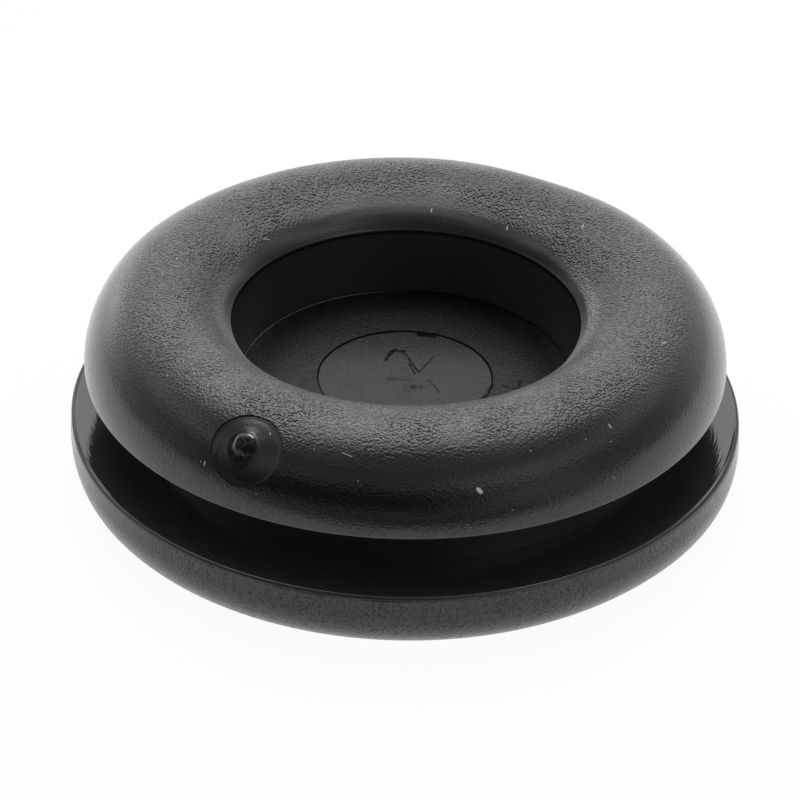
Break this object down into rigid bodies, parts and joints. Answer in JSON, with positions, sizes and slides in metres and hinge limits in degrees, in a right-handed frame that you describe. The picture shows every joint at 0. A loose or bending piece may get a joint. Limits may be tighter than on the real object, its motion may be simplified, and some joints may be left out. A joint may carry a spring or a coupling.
{
  "type": "blanking grommet",
  "caption": "Round rubber blanking grommet: two rounded flanges either side of a panel groove, with a thin membrane closing the bore.",
  "frame": {"origin": "centre of the lower flange's flat foot, on the surface that the grommet rests on", "axes": "+Z along the grommet's axis, from the lower flange to the upper flange"},
  "size_m": [0.0254, 0.0254, 0.0078],
  "materials": {
    "black_rubber": "black moulded rubber, finely grained outside, smooth and glossy in the groove and bore"
  },
  "bodies": {
    "root": {"grommet": "black_rubber"}
  },
  "joints": []
}
